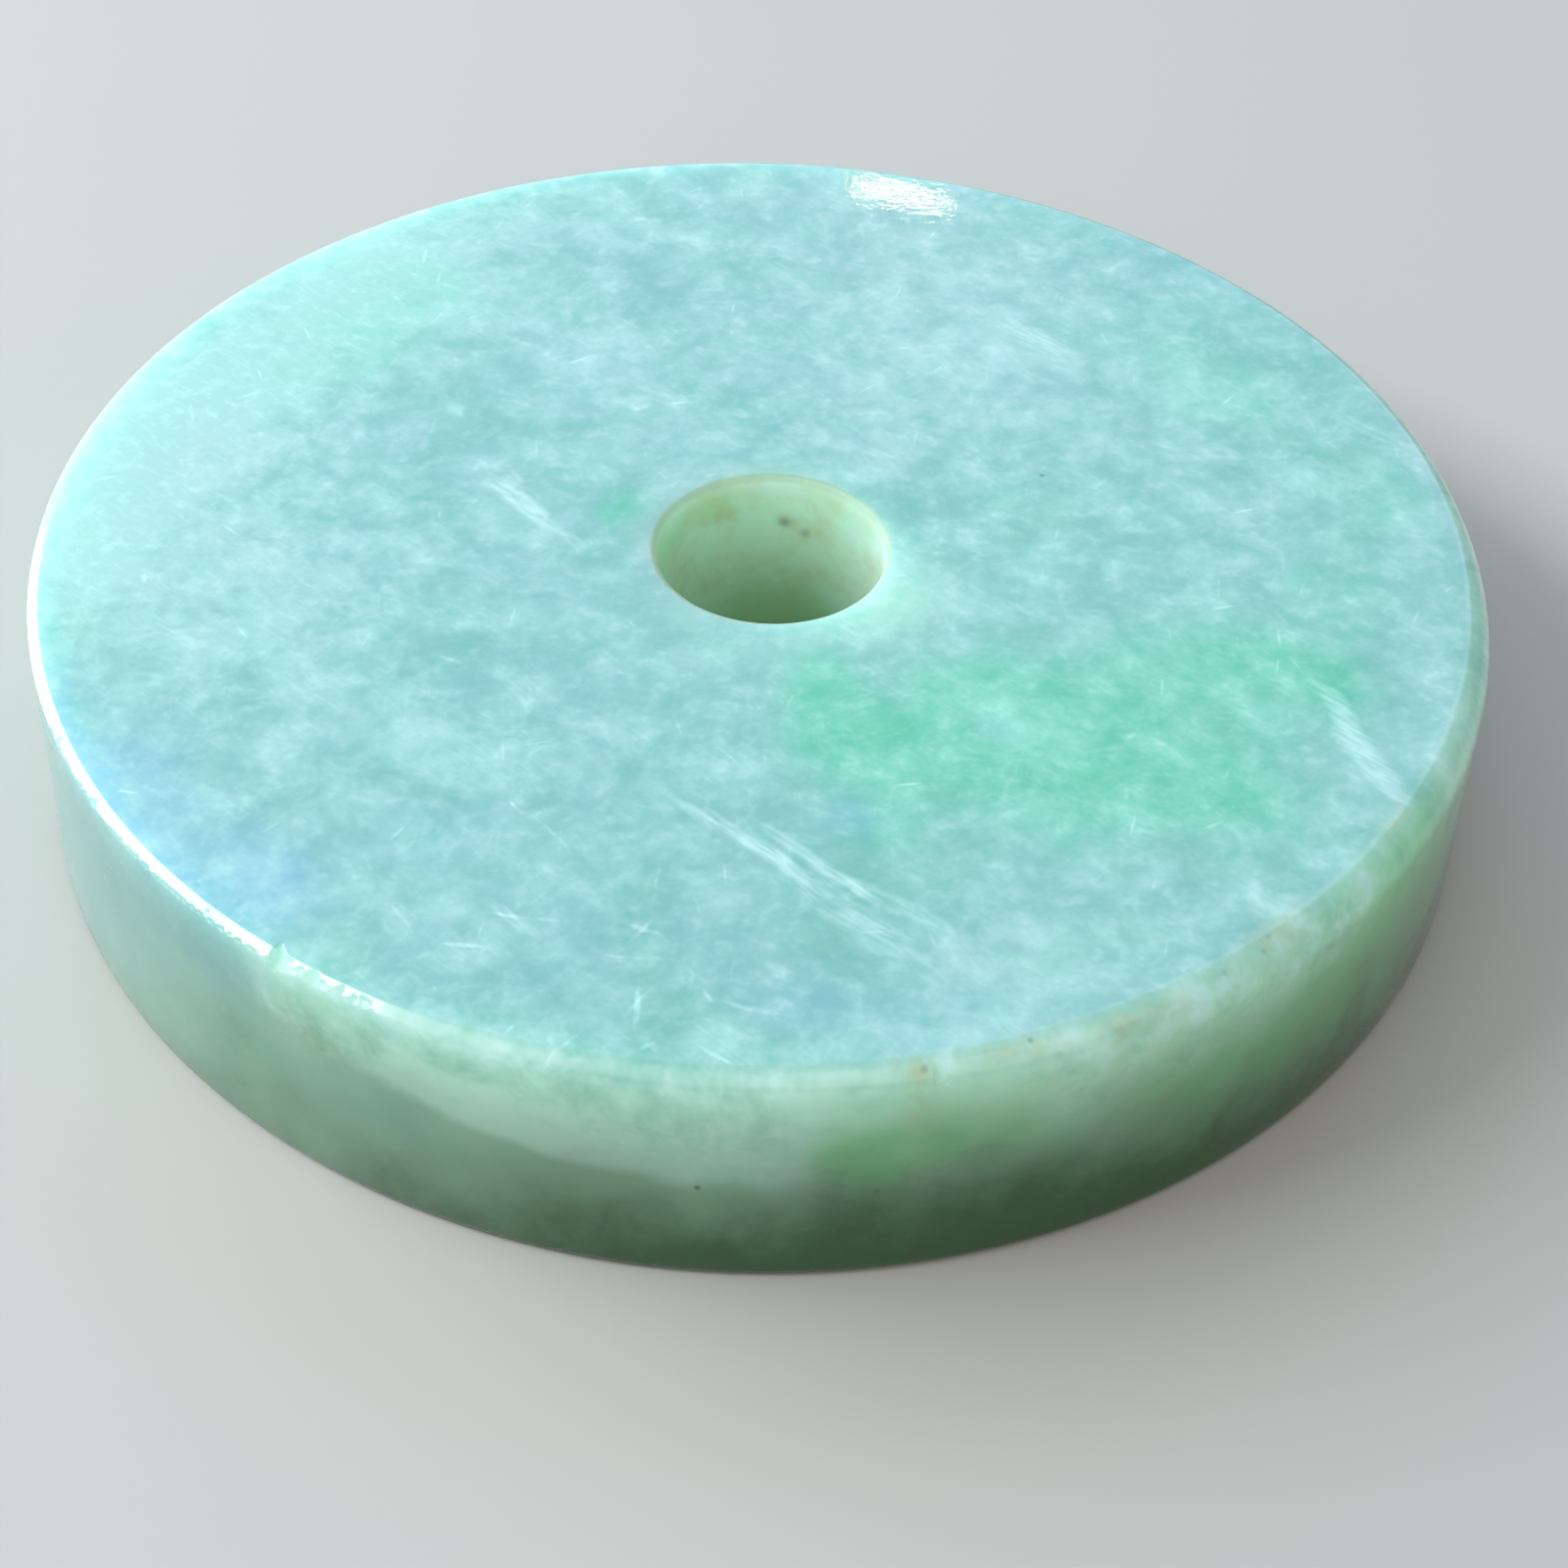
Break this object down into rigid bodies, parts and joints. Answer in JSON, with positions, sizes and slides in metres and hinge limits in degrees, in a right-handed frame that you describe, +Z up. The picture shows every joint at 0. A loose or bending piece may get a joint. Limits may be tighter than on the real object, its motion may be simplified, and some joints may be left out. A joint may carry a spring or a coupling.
{
  "type": "jade bi disc",
  "caption": "Thick round plate of pale green jade, plain and polished on every side, with softened edges and a small hole bored through near its middle.",
  "frame": {"origin": "middle of the underside, which the disc lies on", "axes": "+Z up through the thickness; in the picture +X is to the right and +Y away"},
  "size_m": [0.056, 0.056, 0.0099],
  "materials": {
    "jade": "polished, slightly translucent pale green jade with white flecks and greener clouds"
  },
  "bodies": {
    "root": {"jade_disc": "jade"}
  },
  "joints": []
}
